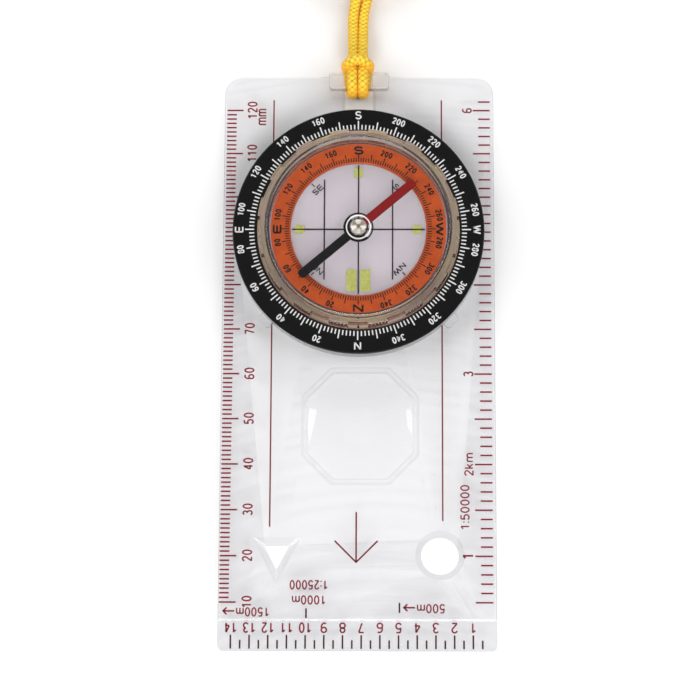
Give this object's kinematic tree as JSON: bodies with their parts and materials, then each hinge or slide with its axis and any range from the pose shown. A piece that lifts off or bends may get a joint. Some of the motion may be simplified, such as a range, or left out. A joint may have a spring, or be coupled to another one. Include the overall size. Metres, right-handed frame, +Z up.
{
  "type": "baseplate compass",
  "caption": "Clear rectangular map compass with a rotating sealed capsule, pivoted needle, black and orange degree rings, moulded magnifier, stencil holes and cord lanyard.",
  "frame": {"origin": "under the middle of the plate, on the plane it rests on", "axes": "+X across the plate, +Y along it towards the lanyard, +Z up out of the dial"},
  "size_m": [0.06, 0.183, 0.0105],
  "materials": {
    "clear_acrylic": "polished clear moulded acrylic with a faint cool tint",
    "clear_acrylic_capsule": "polished clear moulded acrylic",
    "clear_acrylic_floor": "clear acrylic with a faint lilac tint",
    "black_plastic": "satin black with a white printed degree scale",
    "orange_plastic": "satin orange with a black printed degree scale",
    "luminous": "pale yellow-green luminous paint film",
    "needle_enamel": "enamelled flat steel, one end dark red and one end black",
    "clear_bush": "polished clear plastic",
    "jewel": "polished synthetic jewel",
    "cap_metal": "bright turned metal",
    "pin_steel": "hardened steel",
    "seal_rubber": "translucent soft rubber",
    "yellow_cord": "braided yellow cord"
  },
  "bodies": {
    "plate": {"baseplate": "clear_acrylic", "outer_dial_ring": "black_plastic", "lanyard_hitch": "yellow_cord", "lanyard_strand_left": "yellow_cord", "lanyard_strand_right": "yellow_cord", "lanyard_coil": "yellow_cord", "lanyard_end_knot": "yellow_cord"},
    "capsule": {"capsule_housing": "clear_acrylic_capsule", "capsule_floor": "clear_acrylic_floor", "floor_seal": "seal_rubber", "filler_plug": "seal_rubber", "inner_dial_ring": "orange_plastic", "luminous_strips_north": "luminous", "luminous_strip_east": "luminous", "luminous_strip_south": "luminous", "luminous_strip_west": "luminous", "pivot_pin": "pin_steel"},
    "needle": {"needle_strip": "needle_enamel", "needle_bush": "clear_bush", "needle_jewel": "jewel", "needle_cap": "cap_metal"}
  },
  "joints": [
    {"name": "capsule_turn", "type": "hinge", "parent": "plate", "child": "capsule", "pos_m": [0, 0.02735, 0.006], "axis": [0, 0, 1], "continuous": true},
    {"name": "needle_turn", "type": "hinge", "parent": "capsule", "child": "needle", "pos_m": [0, 0.02735, 0.008], "axis": [0, 0, 1], "continuous": true}
  ]
}
